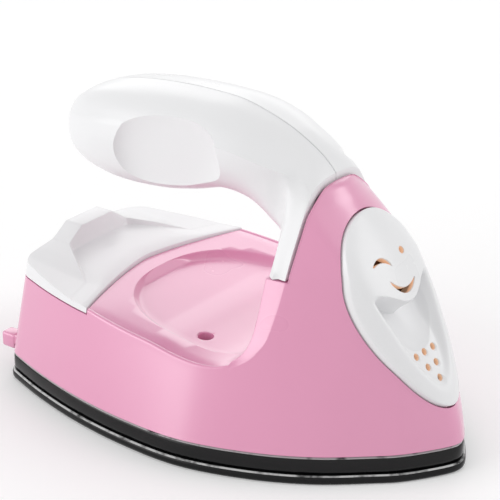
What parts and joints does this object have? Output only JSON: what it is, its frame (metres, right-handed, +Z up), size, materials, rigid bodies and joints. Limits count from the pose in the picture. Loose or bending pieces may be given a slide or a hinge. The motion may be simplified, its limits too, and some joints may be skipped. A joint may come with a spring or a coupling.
{
  "type": "mini handheld heat press",
  "caption": "Palm-sized craft heat press: iron-shaped black sole, pink shell with a saddle, arched white grip, and a white face panel with cut-outs over a lamp.",
  "frame": {"origin": "under the middle of the whole press, on the face of the sole", "axes": "+X from the heel to the nose, +Y across the press to its left, +Z up from the sole"},
  "size_m": [0.1088, 0.0694, 0.0696],
  "materials": {
    "shell_gloss": "gloss, injection moulded",
    "white_gloss": "gloss, injection moulded",
    "sole_coating": "non-stick coating, satin, over cast aluminium",
    "frame_black": "heat resistant, semi-gloss",
    "diffuser": "translucent amber, satin",
    "heater_ceramic": "unglazed",
    "mica": "natural mica sheet",
    "steel": "zinc plated",
    "fuse_case": "satin",
    "gland_rubber": "matte",
    "board": "solder mask over glass laminate",
    "lamp": "clear red lens",
    "resistor": "lacquered",
    "block_nylon": "satin",
    "lead_red": "silicone sleeve",
    "lead_white": "silicone sleeve"
  },
  "bodies": {
    "root": {"base_frame": "frame_black", "block_screw_1": "steel", "board_screw_1": "steel", "board_screw_2": "steel", "body_screw_1": "steel", "body_screw_2": "steel", "body_shell": "shell_gloss", "clamp_screw_1": "steel", "clamp_screw_2": "steel", "cord_clamp": "block_nylon", "cord_clamp_screw_1": "steel", "cord_clamp_screw_2": "steel", "cord_gland": "gland_rubber", "cover_screw_1": "steel", "cover_screw_2": "steel", "face_panel": "white_gloss", "fuse_clip": "steel", "handle_left": "white_gloss", "handle_right": "white_gloss", "handle_screw_1": "steel", "handle_screw_2": "steel", "handle_screw_3": "steel", "heater_clamp": "steel", "heating_element": "heater_ceramic", "indicator_board": "board", "indicator_lamp_1": "lamp", "indicator_lamp_2": "lamp", "lead_heater_1": "lead_white", "lead_heater_2": "lead_white", "lead_lamp_1": "lead_white", "lead_lamp_2": "lead_red", "lead_link": "lead_red", "lead_supply": "lead_red", "light_diffuser": "diffuser", "mica_sheet": "mica", "panel_screw_1": "steel", "panel_screw_2": "steel", "rear_cover": "white_gloss", "resistor": "resistor", "sole_screw_1": "steel", "sole_screw_2": "steel", "sole_screw_3": "steel", "soleplate": "sole_coating", "terminal_block": "block_nylon", "terminal_screw_1": "steel", "terminal_screw_2": "steel", "thermal_fuse": "fuse_case", "thermostat": "steel", "thermostat_screw_1": "steel", "thermostat_screw_2": "steel", "tongue_screw_1": "steel", "tongue_screw_2": "steel"}
  },
  "joints": []
}
